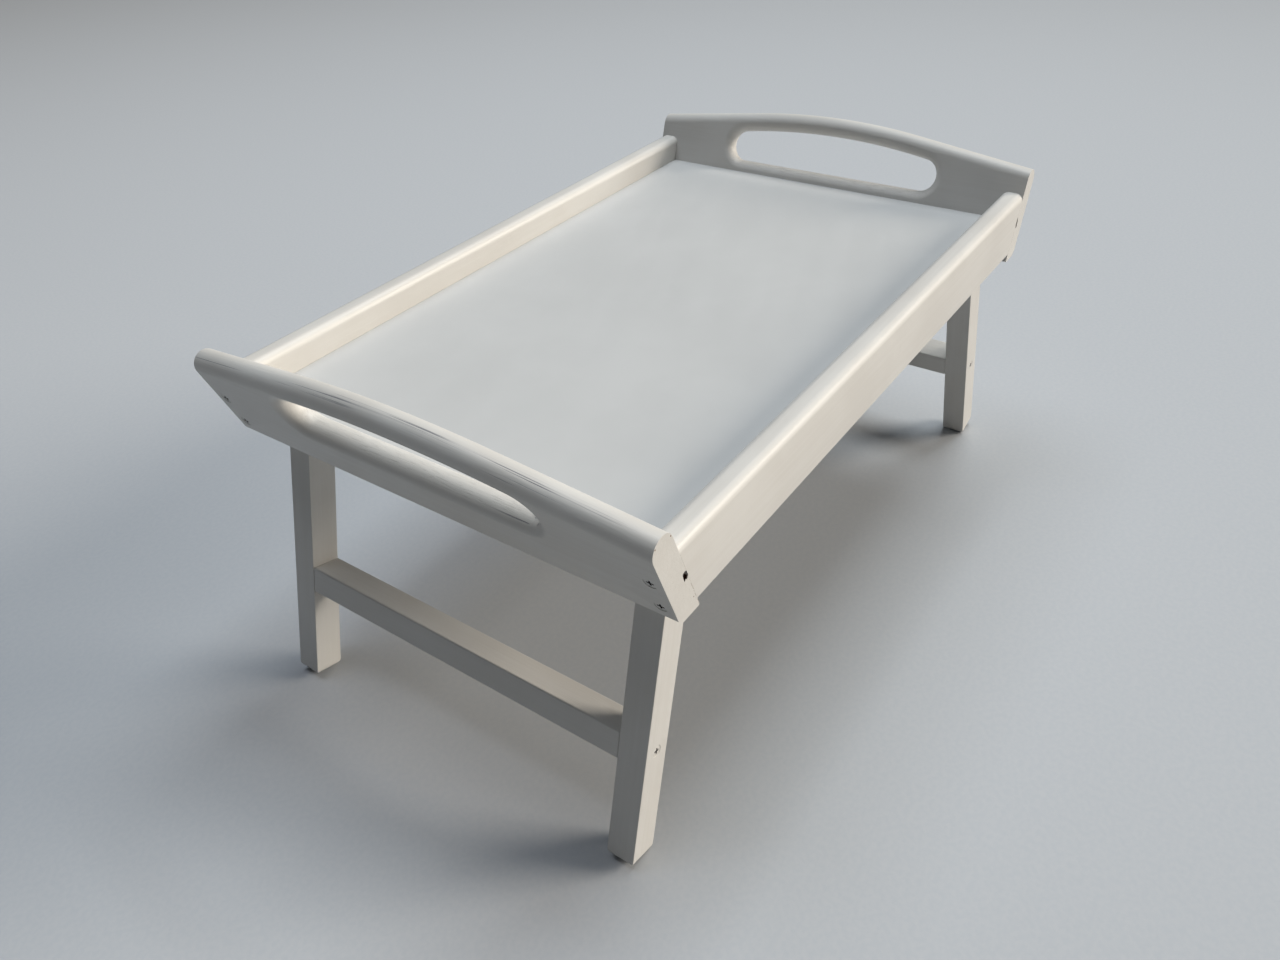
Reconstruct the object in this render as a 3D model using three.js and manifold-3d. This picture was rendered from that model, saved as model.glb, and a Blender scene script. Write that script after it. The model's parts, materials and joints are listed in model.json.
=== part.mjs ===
// Folding tray table: a painted wooden tray with two leg frames that fold flat under it.
//
// Millimetres. +X runs along the tray, +Y across it and +Z up. The origin is on the floor,
// below the middle of the tray. "Left" is the -X end, "right" the +X end, "front" the -Y side
// and "back" the +Y side. The object is the same after half a turn about Z, so each end and
// each rail is modelled once and turned for its twin.

import * as THREE from 'three';
import { mergeVertices } from 'three/addons/utils/BufferGeometryUtils.js';
import Module from 'manifold-3d';

const wasm = await Module();
wasm.setup();

const degrees = THREE.MathUtils.degToRad;
const halfTurn = Math.PI;
const sides = [-1, 1]; // across an end: -1 is the front of the left end and the back of the right end

// ---------------------------------------------------------------- driving dimensions

const gap = 0.3; // air between pieces that are cut for, or rest on, each other
const spare = 20; // how far blanks and tools run past what they are cut to or cut away

// The tray. Heights inside it are measured from the datum, the end boards' outer bottom edge.
const trayWidth = 362;
const bottomHalfLength = 264.4; // from the middle to the end board's outer bottom edge
const boardThickness = 18;
const cant = degrees(19.5); // how far the end boards lean outwards
const cornerSlopeHeight = 66.7; // outer bottom edge to the top, up the slope, at the corners
const archRise = 17.8; // how much taller the middle of the board is
const archHalfSpan = 78; // the curved middle of the arch; straight ramps run from there
const boardEdgeRound = 8; // rounding of the board's top edge and of the handle slot

// The handle slot, where it is narrowest, in the middle of the board's thickness.
const slotHalfLength = 102;
const slotEndRadius = 13.4;
const slotBottom = 34.8;
const slotApex = 68.3;

// The end board's bottom edge: proud of the rails, with a bevel under the outer face.
const boardDrop = 3.6;
const outerBevel = 4.4;
const innerBevel = 1;

const railHeight = 47.5;
const railBottom = 2.2;
const railTopRound = 6;
const panelThickness = 4;
const panelTop = 29;
const grooveDepth = 6;

// The leg frames, which turn about a pivot near the rails' ends.
const pivotFromMiddle = 227.9;
const pivotAboveDatum = 13.5;
const splay = degrees(15.3); // lean of the open legs, where they meet the end boards
const legLength = 225; // pivot to foot
const legWidth = 20.5; // across the tray
const legDepth = 22.5; // along the tray
const legClearance = 2.2; // between a leg and its rail
const footRound = 5;
const stretcherHeight = 20.5;
const stretcherDrop = 138.4; // pivot to the middle of the stretcher

// Fasteners.
const boardScrew = { headRadius: 4, headHeight: 3, shankRadius: 2, length: 40, recess: 5 };
const stretcherScrew = { headRadius: 3.8, headHeight: 2.8, shankRadius: 1.9, length: 45, recess: 4.6 };
const boardScrewHeights = { lower: 9.8, upper: 33.8 }; // up the slope
const screwSink = 0.4;
const screwPoint = 5;
const screwRim = 0.4; // upright edge of a countersunk head
const crossWidth = 1.1;
const crossDepth = 1.6;
const pivotShankRadius = 3;
const pivotHeadRadius = 5.6;
const pivotHeadHeight = 3.4;
// The pivot screw's dome, as shares of the head's radius and height.
const pivotDome = [[1, 0.45], [0.75, 0.85], [0.4, 1]];
const pivotRailBite = 14;
const headWasher = { radius: 7.5, thickness: 1.2 };
const spacerWasher = { radius: 8.5, thickness: 1.6 };

// ---------------------------------------------------------------- worked out from those

const frontFace = -trayWidth / 2;
const railInnerFace = frontFace + boardThickness;
const railMiddle = frontFace + boardThickness / 2;
const legOuterSide = railInnerFace + legClearance;
const legInnerSide = legOuterSide + legWidth;
const legMiddle = legOuterSide + legWidth / 2;
const horizontalThickness = boardThickness / Math.cos(cant);

// The open foot touches the floor on its rounded inner edge.
const pivotHeight = (legLength - footRound) * Math.cos(splay)
  + (legDepth / 2 - footRound) * Math.sin(splay) + footRound;
const datum = pivotHeight - pivotAboveDatum;

/** How far the end board's inner face is from the middle, at a height above the datum. */
function innerFaceAt(height) {
  return bottomHalfLength - horizontalThickness + height * Math.tan(cant);
}

// ---------------------------------------------------------------- materials

const paint = new THREE.MeshStandardMaterial({ color: 0xdad7d0, roughness: 0.5, metalness: 0 });
const panelPaint = new THREE.MeshStandardMaterial({ color: 0xd6d8d9, roughness: 0.38, metalness: 0 });
const steel = new THREE.MeshStandardMaterial({ color: 0x8d8a84, roughness: 0.42, metalness: 0.9 });

// ---------------------------------------------------------------- solids

/** A manifold-3d solid from a closed three.js geometry. */
function solidFrom(geometry) {
  const bare = geometry.clone();
  bare.deleteAttribute('normal');
  bare.deleteAttribute('uv');
  const merged = mergeVertices(bare);
  return new wasm.Manifold(new wasm.Mesh({
    numProp: 3,
    vertProperties: new Float32Array(merged.attributes.position.array),
    triVerts: new Uint32Array(merged.index.array),
  }));
}

/** A three.js geometry from a manifold-3d solid. */
function geometryFrom(solid) {
  const { vertProperties, triVerts } = solid.getMesh();
  const geometry = new THREE.BufferGeometry();
  geometry.setAttribute('position', new THREE.BufferAttribute(vertProperties, 3));
  geometry.setIndex(new THREE.BufferAttribute(triVerts, 1));
  geometry.computeVertexNormals();
  return geometry;
}

/** The body less each of the tools. */
function cut(body, tools) {
  return tools.reduce((rest, tool) => rest.subtract(solidFrom(tool)), body);
}

/** Extrudes an outline drawn in X and Z, centred across Y. */
function extrudeAcross(shape, width, curveSegments = 4) {
  const geometry = new THREE.ExtrudeGeometry(shape, { depth: width, bevelEnabled: false, curveSegments });
  geometry.translate(0, 0, -width / 2);
  return geometry.rotateX(halfTurn / 2);
}

/** Extrudes an outline drawn in Y and Z, centred along X. */
function extrudeAlong(shape, length, curveSegments = 4) {
  const geometry = new THREE.ExtrudeGeometry(shape, { depth: length, bevelEnabled: false, curveSegments });
  geometry.translate(0, 0, -length / 2);
  const turn = new THREE.Matrix4().makeBasis(
    new THREE.Vector3(0, 1, 0),
    new THREE.Vector3(0, 0, 1),
    new THREE.Vector3(1, 0, 0),
  );
  return geometry.applyMatrix4(turn);
}

function polygon(points) {
  return new THREE.Shape(points.map(([x, y]) => new THREE.Vector2(x, y)));
}

function box(low, high) {
  const size = high.map((value, i) => value - low[i]);
  return new THREE.BoxGeometry(...size).translate(...low.map((value, i) => value + size[i] / 2));
}

// ---------------------------------------------------------------- fasteners

const roundSides = 14;

/** A closed turning of (radius, height) points about Y. */
function turned(points, sides = roundSides) {
  return new THREE.LatheGeometry(points.map(([radius, height]) => new THREE.Vector2(radius, height)), sides);
}

/** A cross recess for a screwdriver, cut down from the top of a head at height 0. */
function crossRecess(span) {
  const reach = span / 2;
  const half = crossWidth / 2;
  return [
    box([-reach, -crossDepth, -half], [reach, 1, half]),
    box([-half, -crossDepth, -reach], [half, 1, reach]),
  ];
}

/** Countersunk wood screw: head top at height 0, point downwards along -Y. */
function countersunkScrew({ headRadius, headHeight, shankRadius, length, recess }) {
  const body = turned([
    [0, -length],
    [shankRadius, -length + screwPoint],
    [shankRadius, -headHeight],
    [headRadius, -screwRim],
    [headRadius, 0],
    [0, 0],
  ]);
  return geometryFrom(cut(solidFrom(body), crossRecess(recess)));
}

/** The hole that a countersunk screw sits in, open above its head. */
function countersunkPocket({ headRadius, headHeight, shankRadius, length }) {
  return turned([
    [0, -length - gap],
    [shankRadius + gap, -length - gap],
    [shankRadius + gap, -headHeight],
    [headRadius + gap, -gap],
    [headRadius + gap, headHeight],
    [0, headHeight],
  ]);
}

const pivotScrewReach = headWasher.thickness + gap + legWidth + legClearance + pivotRailBite;

/** Round-head pivot screw: the underside of its head at height 0, point along -Y. */
function pivotScrew() {
  const body = turned([
    [0, -pivotScrewReach],
    [pivotShankRadius, -pivotScrewReach + screwPoint],
    [pivotShankRadius, 0],
    [pivotHeadRadius, 0],
    ...pivotDome.map(([across, up]) => [pivotHeadRadius * across, pivotHeadHeight * up]),
    [0, pivotHeadHeight],
  ]);
  const recess = crossRecess(pivotHeadRadius).map((tool) => tool.translate(0, pivotHeadHeight, 0));
  return geometryFrom(cut(solidFrom(body), recess));
}

/** A flat ring about Y with its faces at height 0 and -thickness. */
function washer({ radius, thickness }) {
  const hole = pivotShankRadius + gap;
  return turned([[hole, -thickness], [radius, -thickness], [radius, 0], [hole, 0], [hole, -thickness]]);
}

/** A round bar along Y, for cutting a pivot hole. */
function pivotBore(length) {
  return new THREE.CylinderGeometry(pivotShankRadius + gap, pivotShankRadius + gap, length, roundSides);
}

// ---------------------------------------------------------------- end boards

/** The left end board's own frame: across the tray, up the slope, and into the tray. */
const boardFrame = new THREE.Matrix4().makeBasis(
  new THREE.Vector3(0, 1, 0),
  new THREE.Vector3(-Math.sin(cant), 0, Math.cos(cant)),
  new THREE.Vector3(Math.cos(cant), 0, Math.sin(cant)),
).setPosition(-bottomHalfLength, 0, datum);

/** The arched top: straight ramps up to a shallow arc, lowered for the rounding to stand on. */
function archOutline() {
  const rampRun = trayWidth / 2 - archHalfSpan;
  const rampAngle = Math.atan(archRise / (rampRun + archHalfSpan / 2));
  const arcRadius = archHalfSpan / Math.sin(rampAngle);
  const crown = cornerSlopeHeight + archRise - boardEdgeRound;
  const outerHeight = cornerSlopeHeight - boardEdgeRound - spare * Math.tan(rampAngle);
  const halfWidth = trayWidth / 2 + spare;
  const shape = new THREE.Shape();
  shape.moveTo(-halfWidth, -spare);
  shape.lineTo(halfWidth, -spare);
  shape.lineTo(halfWidth, outerHeight);
  shape.absarc(0, crown - arcRadius, arcRadius, halfTurn / 2 - rampAngle, halfTurn / 2 + rampAngle, false);
  shape.lineTo(-halfWidth, outerHeight);
  return shape;
}

/** The handle slot on the board's faces: flat below, arched above, with round ends. */
function slotOutline() {
  const endCentre = slotHalfLength - slotEndRadius;
  const endHeight = slotBottom + slotEndRadius;
  const endRadius = slotEndRadius + boardEdgeRound;
  const apexAboveEnd = slotApex + boardEdgeRound - endHeight;
  const topRadius = (endCentre ** 2 + apexAboveEnd ** 2 - endRadius ** 2) / (2 * (apexAboveEnd - endRadius));
  const topCentre = endHeight + apexAboveEnd - topRadius;
  const joinAngle = Math.atan2(endHeight - topCentre, endCentre);
  const quarter = halfTurn / 2;
  const path = new THREE.Path();
  path.moveTo(-endCentre, endHeight - endRadius);
  path.absarc(endCentre, endHeight, endRadius, -quarter, joinAngle, false);
  path.absarc(0, topCentre, topRadius, joinAngle, halfTurn - joinAngle, false);
  path.absarc(-endCentre, endHeight, endRadius, halfTurn - joinAngle, 3 * quarter, false);
  return path;
}

/** What the saw leaves of the board: square ends, and a bevelled bottom edge. */
function boardTrim() {
  const corner = -bottomHalfLength;
  const bottomInside = -innerFaceAt(-boardDrop);
  const farOut = corner - cornerSlopeHeight;
  const farIn = corner + horizontalThickness + spare;
  const farUp = datum + cornerSlopeHeight + archRise + spare;
  const outline = polygon([
    [corner, datum],
    [corner + outerBevel, datum - boardDrop],
    [bottomInside - innerBevel, datum - boardDrop],
    [-innerFaceAt(innerBevel - boardDrop), datum - boardDrop + innerBevel],
    [farIn, datum - boardDrop + innerBevel],
    [farIn, farUp],
    [farOut, farUp],
    [farOut, datum],
  ]);
  return extrudeAcross(outline, trayWidth);
}

/** The groove that the panel's end sits in; it runs out at both ends of the board. */
function panelGroove() {
  const mouth = -innerFaceAt(panelTop - panelThickness / 2);
  return box(
    [mouth - grooveDepth, -trayWidth, datum + panelTop - panelThickness - gap],
    [mouth + grooveDepth, trayWidth, datum + panelTop + gap],
  );
}

/** Where the board screws sit at the left end, with their points into the rails. */
function boardScrewPlaces() {
  const intoTray = new THREE.Quaternion().setFromUnitVectors(
    new THREE.Vector3(0, -1, 0),
    new THREE.Vector3(Math.cos(cant), 0, Math.sin(cant)),
  );
  const places = [];
  for (const side of sides) {
    for (const level of ['lower', 'upper']) {
      const head = new THREE.Vector3(-side * railMiddle, boardScrewHeights[level], screwSink);
      const matrix = new THREE.Matrix4().compose(
        head.applyMatrix4(boardFrame),
        intoTray,
        new THREE.Vector3(1, 1, 1),
      );
      places.push({ side, level, matrix });
    }
  }
  return places;
}

function endBoard() {
  const outline = archOutline();
  outline.holes.push(slotOutline());
  const blank = new THREE.ExtrudeGeometry(outline, {
    depth: boardThickness - 2 * boardEdgeRound,
    bevelSize: boardEdgeRound,
    bevelThickness: boardEdgeRound,
    bevelSegments: 3,
    curveSegments: 10,
  });
  blank.translate(0, 0, boardEdgeRound);
  const trimmed = solidFrom(blank.applyMatrix4(boardFrame)).intersect(solidFrom(boardTrim()));
  const pockets = boardScrewPlaces().map(({ matrix }) => countersunkPocket(boardScrew).applyMatrix4(matrix));
  return geometryFrom(cut(trimmed, [panelGroove(), ...pockets]));
}

// ---------------------------------------------------------------- rails and panel

/** The front rail's section: a round-shouldered board with a groove for the panel. */
function railSection() {
  const bottom = datum + railBottom;
  const top = bottom + railHeight;
  const grooveTop = datum + panelTop + gap;
  const grooveBottom = datum + panelTop - panelThickness - gap;
  const quarter = halfTurn / 2;
  const shape = new THREE.Shape();
  shape.moveTo(frontFace, bottom);
  shape.lineTo(railInnerFace, bottom);
  shape.lineTo(railInnerFace, grooveBottom);
  shape.lineTo(railInnerFace - grooveDepth, grooveBottom);
  shape.lineTo(railInnerFace - grooveDepth, grooveTop);
  shape.lineTo(railInnerFace, grooveTop);
  shape.absarc(railInnerFace - railTopRound, top - railTopRound, railTopRound, 0, quarter, false);
  shape.absarc(frontFace + railTopRound, top - railTopRound, railTopRound, quarter, 2 * quarter, false);
  return shape;
}

/** The front rail, its ends cut on the slant to butt against the end boards. */
function frontRail() {
  const low = railBottom - spare;
  const high = railBottom + railHeight + spare;
  const lowHalf = innerFaceAt(low) - gap;
  const highHalf = innerFaceAt(high) - gap;
  const sideView = polygon([
    [-lowHalf, datum + low],
    [lowHalf, datum + low],
    [highHalf, datum + high],
    [-highHalf, datum + high],
  ]);
  const rail = solidFrom(extrudeAlong(railSection(), 2 * (bottomHalfLength + spare)))
    .intersect(solidFrom(extrudeAcross(sideView, 2 * trayWidth)));
  const tools = [];
  for (const turn of [0, halfTurn]) {
    for (const { matrix } of boardScrewPlaces()) {
      tools.push(countersunkPocket(boardScrew).applyMatrix4(matrix).rotateZ(turn));
    }
  }
  for (const x of [-pivotFromMiddle, pivotFromMiddle]) {
    const mouth = railInnerFace + spare;
    const bottom = railInnerFace - pivotRailBite - gap;
    tools.push(pivotBore(mouth - bottom).translate(x, (mouth + bottom) / 2, pivotHeight));
  }
  return geometryFrom(cut(rail, tools));
}

function panel() {
  const halfLength = innerFaceAt(panelTop - panelThickness / 2) + grooveDepth - 2 * gap;
  const halfWidth = -railInnerFace + grooveDepth - gap;
  return box(
    [-halfLength, -halfWidth, datum + panelTop - panelThickness],
    [halfLength, halfWidth, datum + panelTop],
  );
}

// ---------------------------------------------------------------- leg frames

// In the leg frame's own frame the pivot is the origin, the legs point down -Z and their
// outer faces look along -X.

/** A leg seen from the side: round about the pivot, rounded at the foot. */
function legSideOutline() {
  const half = legDepth / 2;
  const centre = half - footRound;
  const foot = -legLength + footRound;
  const quarter = halfTurn / 2;
  const shape = new THREE.Shape();
  shape.moveTo(-half, 0);
  shape.absarc(-centre, foot, footRound, 2 * quarter, 3 * quarter, false);
  shape.absarc(centre, foot, footRound, -quarter, splay - quarter, false);
  shape.absarc(centre, foot, footRound, splay - quarter, 0, false);
  shape.absarc(0, 0, half, 0, halfTurn, false);
  return shape;
}

/** A leg seen from the end of the tray, rounded at the foot. */
function legFrontOutline() {
  const half = legWidth / 2;
  const centre = half - footRound;
  const foot = -legLength + footRound;
  const quarter = halfTurn / 2;
  const shape = new THREE.Shape();
  shape.moveTo(half, legDepth);
  shape.lineTo(-half, legDepth);
  shape.absarc(-centre, foot, footRound, 2 * quarter, 3 * quarter, false);
  shape.absarc(centre, foot, footRound, 3 * quarter, 4 * quarter, false);
  return shape;
}

/** One leg centred on the pivot axis, with the stretcher screw's pocket in its outer side. */
function leg(outerDirection) {
  const body = solidFrom(extrudeAcross(legSideOutline(), legWidth))
    .intersect(solidFrom(extrudeAlong(legFrontOutline(), 2 * legDepth)));
  const pocket = countersunkPocket(stretcherScrew);
  if (outerDirection < 0) pocket.rotateX(halfTurn);
  pocket.translate(0, outerDirection * (legWidth / 2 - screwSink), -stretcherDrop);
  return geometryFrom(cut(body, [pivotBore(2 * legWidth), pocket]));
}

function stretcher() {
  const halfLength = -legInnerSide - gap;
  const half = stretcherHeight / 2;
  const body = solidFrom(box(
    [-legDepth / 2, -halfLength, -half],
    [legDepth / 2, halfLength, half],
  ));
  const head = -legOuterSide - screwSink;
  const pockets = sides.map((side) => {
    const pocket = countersunkPocket(stretcherScrew);
    if (side < 0) pocket.rotateX(halfTurn);
    return pocket.translate(0, side * head, 0);
  });
  return geometryFrom(cut(body, pockets));
}

// ---------------------------------------------------------------- assembly

function piece(name, geometry, material, parent) {
  const mesh = new THREE.Mesh(geometry, material);
  mesh.name = name;
  parent.add(mesh);
  return mesh;
}

/** Legs, stretcher and their screws, turned about the pivot to the open position. */
function addLegFrame(end, sideNames, parent) {
  const frame = new THREE.Group();
  frame.position.set(-pivotFromMiddle, 0, pivotHeight);
  frame.rotation.y = splay;
  parent.add(frame);
  piece(`stretcher_${end}`, stretcher(), paint, frame).position.z = -stretcherDrop;
  for (const side of sides) {
    const sideName = sideNames[side];
    piece(`leg_${end}_${sideName}`, leg(side), paint, frame).position.y = -side * legMiddle;
    const screw = piece(`stretcher_screw_${end}_${sideName}`, countersunkScrew(stretcherScrew), steel, frame);
    screw.position.set(0, -side * (legOuterSide + screwSink), -stretcherDrop);
    screw.rotation.x = side < 0 ? halfTurn : 0;
  }
}

/** The pivot screws and washers, which stay with the rails. */
function addPivots(end, sideNames, parent) {
  for (const side of sides) {
    const sideName = sideNames[side];
    const pivot = new THREE.Group();
    pivot.position.set(-pivotFromMiddle, 0, pivotHeight);
    pivot.rotation.x = side < 0 ? 0 : halfTurn;
    parent.add(pivot);
    const washerTop = legInnerSide + headWasher.thickness + gap / 2;
    const spacerTop = legOuterSide - (legClearance - spacerWasher.thickness) / 2;
    piece(`pivot_screw_${end}_${sideName}`, pivotScrew(), steel, pivot).position.y = washerTop + gap / 2;
    piece(`pivot_washer_${end}_${sideName}`, washer(headWasher), steel, pivot).position.y = washerTop;
    piece(`pivot_spacer_${end}_${sideName}`, washer(spacerWasher), steel, pivot).position.y = spacerTop;
  }
}

/** One end of the table, built as the left end and turned about Z for the right. */
function addEnd(end, turn, sideNames, parent) {
  const group = new THREE.Group();
  group.rotation.z = turn;
  parent.add(group);
  piece(`end_board_${end}`, endBoard(), paint, group);
  for (const { side, level, matrix } of boardScrewPlaces()) {
    const name = `board_screw_${end}_${sideNames[side]}_${level}`;
    const screw = piece(name, countersunkScrew(boardScrew), steel, group);
    matrix.decompose(screw.position, screw.quaternion, screw.scale);
  }
  addPivots(end, sideNames, group);
  addLegFrame(end, sideNames, group);
}

const table = new THREE.Group();
addEnd('left', 0, { '-1': 'front', 1: 'back' }, table);
addEnd('right', halfTurn, { '-1': 'back', 1: 'front' }, table);
piece('side_rail_front', frontRail(), paint, table);
piece('side_rail_back', frontRail(), paint, table).rotation.z = halfTurn;
piece('tray_panel', panel(), panelPaint, table);

export default table;
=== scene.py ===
"""Folding tray table: the looks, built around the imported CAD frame.

Every visible piece is modelled here in metres, in the frame of the CAD model, and stands for the
CAD node of the same name. The left end (-X) is modelled and turned half round for the right end.
"""

import json
import math

import bmesh
import bpy
from mathutils import Matrix, Vector, noise


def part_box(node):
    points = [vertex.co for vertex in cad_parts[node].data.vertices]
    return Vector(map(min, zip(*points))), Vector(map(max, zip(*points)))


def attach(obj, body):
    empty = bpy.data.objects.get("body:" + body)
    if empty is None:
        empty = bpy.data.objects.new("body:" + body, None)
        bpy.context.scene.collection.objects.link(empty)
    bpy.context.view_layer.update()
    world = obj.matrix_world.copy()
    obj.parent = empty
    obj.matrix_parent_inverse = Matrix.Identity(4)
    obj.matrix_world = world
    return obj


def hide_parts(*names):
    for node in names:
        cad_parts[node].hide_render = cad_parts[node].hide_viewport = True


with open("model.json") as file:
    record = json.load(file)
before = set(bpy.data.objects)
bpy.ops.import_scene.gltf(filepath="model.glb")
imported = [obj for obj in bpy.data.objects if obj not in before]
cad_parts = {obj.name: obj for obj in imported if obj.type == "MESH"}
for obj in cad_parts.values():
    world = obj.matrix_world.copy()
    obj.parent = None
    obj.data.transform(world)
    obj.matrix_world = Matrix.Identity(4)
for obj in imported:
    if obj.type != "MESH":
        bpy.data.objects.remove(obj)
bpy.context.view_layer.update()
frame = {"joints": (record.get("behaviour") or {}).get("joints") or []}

MM = 0.001

# ---------------------------------------------------------------- places read from the frame

rail_low, rail_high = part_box("side_rail_front")
panel_low, panel_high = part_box("tray_panel")
RAIL_BOTTOM = rail_low.z
RAIL_TOP = rail_high.z
HALF_WIDTH = -rail_low.y
BOARD = rail_high.y - rail_low.y  # thickness of the boards and rails
PIVOTS = {joint["name"]: Vector(joint["pos_m"]) for joint in frame["joints"]}
PIVOT = PIVOTS["left_leg_fold"]

# ---------------------------------------------------------------- shape values, as in the CAD model

DATUM = RAIL_BOTTOM - 2.2 * MM  # height of the end boards' outer bottom edge
BOTTOM_HALF_LENGTH = 264.4 * MM
CANT = math.radians(19.5)
CORNER_HEIGHT = 66.7 * MM  # up the slope
ARCH_RISE = 17.8 * MM
ARCH_HALF_SPAN = 78 * MM
NOSE = BOARD / 2  # the top edge is a full half round here, 1 mm fuller than in the CAD model
SLOT_HALF_LENGTH = 102 * MM
SLOT_END_RADIUS = 13.4 * MM
SLOT_BOTTOM = 34.8 * MM
SLOT_APEX = 68.3 * MM
SLOT_ROUND = 8 * MM
BOARD_DROP = 3.6 * MM  # the bottom edge, below the datum
OUTER_BEVEL = 4.4 * MM
INNER_BEVEL = 1 * MM
RAIL_ROUND = 6 * MM
RAIL_BOTTOM_ROUND = 1.2 * MM
SPLAY = math.radians(15.3)
LEG_LENGTH = 225 * MM
LEG_WIDTH = 20.5 * MM
LEG_DEPTH = 22.5 * MM
LEG_OUTER_SIDE = 160.8 * MM
FOOT_ROUND = 5 * MM
STRETCHER_HEIGHT = 20.5 * MM
STRETCHER_DROP = 138.4 * MM
BOARD_SCREW_HEIGHTS = {"lower": 9.8 * MM, "upper": 33.8 * MM}  # up the slope
BOARD_SCREW = {"head": 4 * MM, "shank": 2 * MM, "length": 40 * MM}
STRETCHER_SCREW = {"head": 3.8 * MM, "shank": 1.9 * MM, "length": 45 * MM}
SCREW_SINK = 0.3 * MM
PIVOT_HOLE = 3.3 * MM  # radius, in the legs and washers
PIVOT_SHANK = 3 * MM
PIVOT_HEAD = 5.6 * MM
PIVOT_HEAD_HEIGHT = 3.4 * MM
PIVOT_REACH = 38.2 * MM  # under the head
HEAD_WASHER = {"thickness": 1.2 * MM, "radius": 7.5 * MM}
SPACER_WASHER = {"thickness": 1.6 * MM, "radius": 8.5 * MM}

SEAM = 0.06 * MM  # hairline between pieces that are glued or fitted together
EASED = 0.9 * MM  # sandpapered edges
SPARE = 3 * MM  # how far a cutter stands out of the piece it cuts

LEFT = Matrix.Identity(4)
RIGHT = Matrix.Rotation(math.pi, 4, "Z")
ENDS = {
    "left": (LEFT, {-1: "front", 1: "back"}),
    "right": (RIGHT, {-1: "back", 1: "front"}),
}


def inner_face(height):
    """Distance of the end board's inner face from the middle, at a height above the datum."""
    return BOTTOM_HALF_LENGTH - BOARD / math.cos(CANT) + height * math.tan(CANT)


# ---------------------------------------------------------------- mesh tools


def mesh_object(name, bm):
    """Links a new object holding the bmesh."""
    bmesh.ops.recalc_face_normals(bm, faces=bm.faces)
    mesh = bpy.data.meshes.new(name)
    bm.to_mesh(mesh)
    bm.free()
    obj = bpy.data.objects.new(name, mesh)
    bpy.context.scene.collection.objects.link(obj)
    return obj


def apply_modifiers(obj):
    """Replaces the object's mesh with its modified one."""
    graph = bpy.context.evaluated_depsgraph_get()
    made = bpy.data.meshes.new_from_object(obj.evaluated_get(graph))
    obj.modifiers.clear()
    obj.data = made


def carve(obj, cutters):
    """Subtracts the cutter objects, then removes them."""
    for cutter in cutters:
        step = obj.modifiers.new("carve", "BOOLEAN")
        step.object = cutter
        step.operation = "DIFFERENCE"
        step.solver = "EXACT"
    apply_modifiers(obj)
    for cutter in cutters:
        bpy.data.objects.remove(cutter)


def ease_edges(obj, width=EASED, stays_sharp=lambda edge: False):
    """Rounds the sharp edges a little, apart from those that stay sharp, and shades them smoothly."""
    bm = bmesh.new()
    bm.from_mesh(obj.data)
    weight = bm.edges.layers.float.new("bevel_weight_edge")
    for edge in bm.edges:
        sharp = len(edge.link_faces) == 2 and edge.calc_face_angle() > math.radians(32)
        edge[weight] = 1 if sharp and not stays_sharp(edge) else 0
    bm.to_mesh(obj.data)
    bm.free()
    bevel = obj.modifiers.new("ease", "BEVEL")
    bevel.width = width
    bevel.segments = 3
    bevel.limit_method = "WEIGHT"
    apply_modifiers(obj)
    obj.data.shade_smooth()
    weighted = obj.modifiers.new("normals", "WEIGHTED_NORMAL")
    weighted.keep_sharp = True
    apply_modifiers(obj)


def shade_by_angle(obj, angle=35):
    """Smooth shading, apart from edges sharper than the angle."""
    obj.data.shade_smooth()
    obj.data.set_sharp_from_angle(angle=math.radians(angle))


def finish_piece(obj, node, body, material):
    """Stands the piece in for its CAD node, and has it move with the body."""
    obj.name = node + "_look"
    if material is not None:
        obj.data.materials.clear()
        obj.data.materials.append(material)
    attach(obj, body)
    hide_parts(node)
    return obj


def turned(name, points, matrix, sides=32, closed=False):
    """A turning of (radius, height) points about Z; closed joins the last point to the first."""
    bm = bmesh.new()
    rings = []
    for radius, height in points:
        if radius == 0:
            rings.append([bm.verts.new((0, 0, height))])
            continue
        ring = []
        for i in range(sides):
            angle = 2 * math.pi * i / sides
            ring.append(bm.verts.new((radius * math.cos(angle), radius * math.sin(angle), height)))
        rings.append(ring)
    pairs = list(zip(rings, rings[1:]))
    if closed:
        pairs.append((rings[-1], rings[0]))
    for lower, upper in pairs:
        for i in range(sides):
            j = (i + 1) % sides
            corners = [lower[i % len(lower)], lower[j % len(lower)]]
            corners += [upper[j % len(upper)], upper[i % len(upper)]]
            bm.faces.new(list(dict.fromkeys(corners)))
    bmesh.ops.transform(bm, verts=bm.verts, matrix=matrix)
    return mesh_object(name, bm)


def arc(centre, radius, start, end, count):
    """Points on an arc, its first and last included."""
    angles = [start + (end - start) * i / count for i in range(count + 1)]
    return [(centre[0] + radius * math.cos(a), centre[1] + radius * math.sin(a)) for a in angles]


def prism(name, outline, low, high, place, stations=1):
    """Extrudes a closed outline between two distances; place(u, v, w) gives each corner's point."""
    bm = bmesh.new()
    rings = []
    for i in range(stations + 1):
        w = low + (high - low) * i / stations
        rings.append([bm.verts.new(place(u, v, w)) for u, v in outline])
    for first, second in zip(rings, rings[1:]):
        for i in range(len(outline)):
            j = (i + 1) % len(outline)
            bm.faces.new((first[i], first[j], second[j], second[i]))
    bm.faces.new(rings[0])
    bm.faces.new(rings[-1])
    return mesh_object(name, bm)


# ---------------------------------------------------------------- end boards

BOARD_FRAME = Matrix((
    (0, -math.sin(CANT), math.cos(CANT), -BOTTOM_HALF_LENGTH),
    (1, 0, 0, 0),
    (0, math.cos(CANT), math.sin(CANT), DATUM),
    (0, 0, 0, 1),
))  # from (across, up the slope, inwards) to the row frame

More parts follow.
